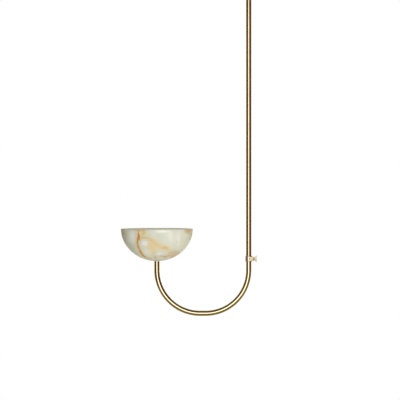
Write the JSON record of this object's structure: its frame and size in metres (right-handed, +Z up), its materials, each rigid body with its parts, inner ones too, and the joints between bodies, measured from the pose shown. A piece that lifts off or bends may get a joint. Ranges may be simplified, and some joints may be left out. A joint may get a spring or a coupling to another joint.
{
  "type": "alabaster pendant light",
  "caption": "Brass rod pendant with a swivelling J-shaped arm that carries an upward-facing alabaster half-bowl, locked by a wing screw.",
  "frame": {"origin": "on the ceiling plane, on the drop rod's axis, midway between the bracket's two slots", "axes": "+Z up towards the ceiling; the arm at rest reaches from the rod towards -X; the wing screw points to +X"},
  "size_m": [0.383, 0.1819, 0.8698],
  "materials": {
    "satin_brass": "satin, clear lacquered",
    "raw_brass": "turned, bare",
    "zinc_steel": "zinc plated",
    "alabaster": "honed, pale green-cream with orange-brown veins",
    "silicone": "translucent, matte",
    "nylon": "natural",
    "flex_sheath": "smooth",
    "core_insulation": "smooth",
    "terminal_plastic": "moulded",
    "holder_ceramic": "unglazed white",
    "lamp_ceramic": "white",
    "contact_metal": "nickel plated",
    "light_board": "white with a yellow light strip",
    "frosted_glass": "frosted"
  },
  "bodies": {
    "ceiling_fixing": {"ceiling_bracket": "zinc_steel", "rod_nipple": "zinc_steel", "nipple_washer": "zinc_steel", "nipple_nut": "zinc_steel", "terminal_block": "terminal_plastic", "terminal_screws": "zinc_steel", "earth_screw": "zinc_steel", "supply_cores": "core_insulation", "drop_rod": "satin_brass", "rod_top_insert": "raw_brass", "rod_end_insert": "raw_brass", "rod_flex": "flex_sheath", "swivel_spindle": "raw_brass", "thrust_washer": "nylon"},
    "canopy_cover": {"canopy": "satin_brass", "canopy_stop_ring": "satin_brass", "stop_ring_screw": "zinc_steel"},
    "swivel_arm": {"swivel_bush": "raw_brass", "clamp_collar": "satin_brass", "arm_tube": "satin_brass", "arm_end_insert": "raw_brass", "arm_flex": "flex_sheath", "bowl": "alabaster", "bowl_seat_washer": "silicone", "bowl_nipple": "zinc_steel", "bowl_cushion_washer": "silicone", "bowl_clamp_plate": "satin_brass", "bowl_nut": "raw_brass", "lampholder_bracket": "zinc_steel", "lampholder_body": "holder_ceramic", "lampholder_screws": "zinc_steel", "lampholder_contacts": "contact_metal", "lamp_pins": "contact_metal", "lamp_base": "lamp_ceramic", "lamp_board": "light_board", "lamp_glass": "frosted_glass"},
    "screw_pad": {"lock_pad": "raw_brass"},
    "wing_screw": {"thumb_screw": "satin_brass"}
  },
  "joints": [
    {"name": "arm_swivel", "type": "hinge", "parent": "ceiling_fixing", "child": "swivel_arm", "pos_m": [0, 0, -0.7255], "axis": [0, 0, 1], "range_deg": [-150, 150]},
    {"name": "canopy_slide", "type": "slide", "parent": "ceiling_fixing", "child": "canopy_cover", "axis": [0, 0, -1], "range_m": [0, 0.672]},
    {"name": "pad_slide", "type": "slide", "parent": "swivel_arm", "child": "screw_pad", "axis": [1, 0, 0], "range_m": [0, 0.0007]},
    {"name": "screw_turn", "type": "hinge", "parent": "screw_pad", "child": "wing_screw", "pos_m": [0.0131, 0, -0.7255], "axis": [1, 0, 0], "range_deg": [0, 360]}
  ],
  "couplings": [
    {"joint": "screw_turn", "follows": "pad_slide", "rad_per_m": 8976}
  ]
}
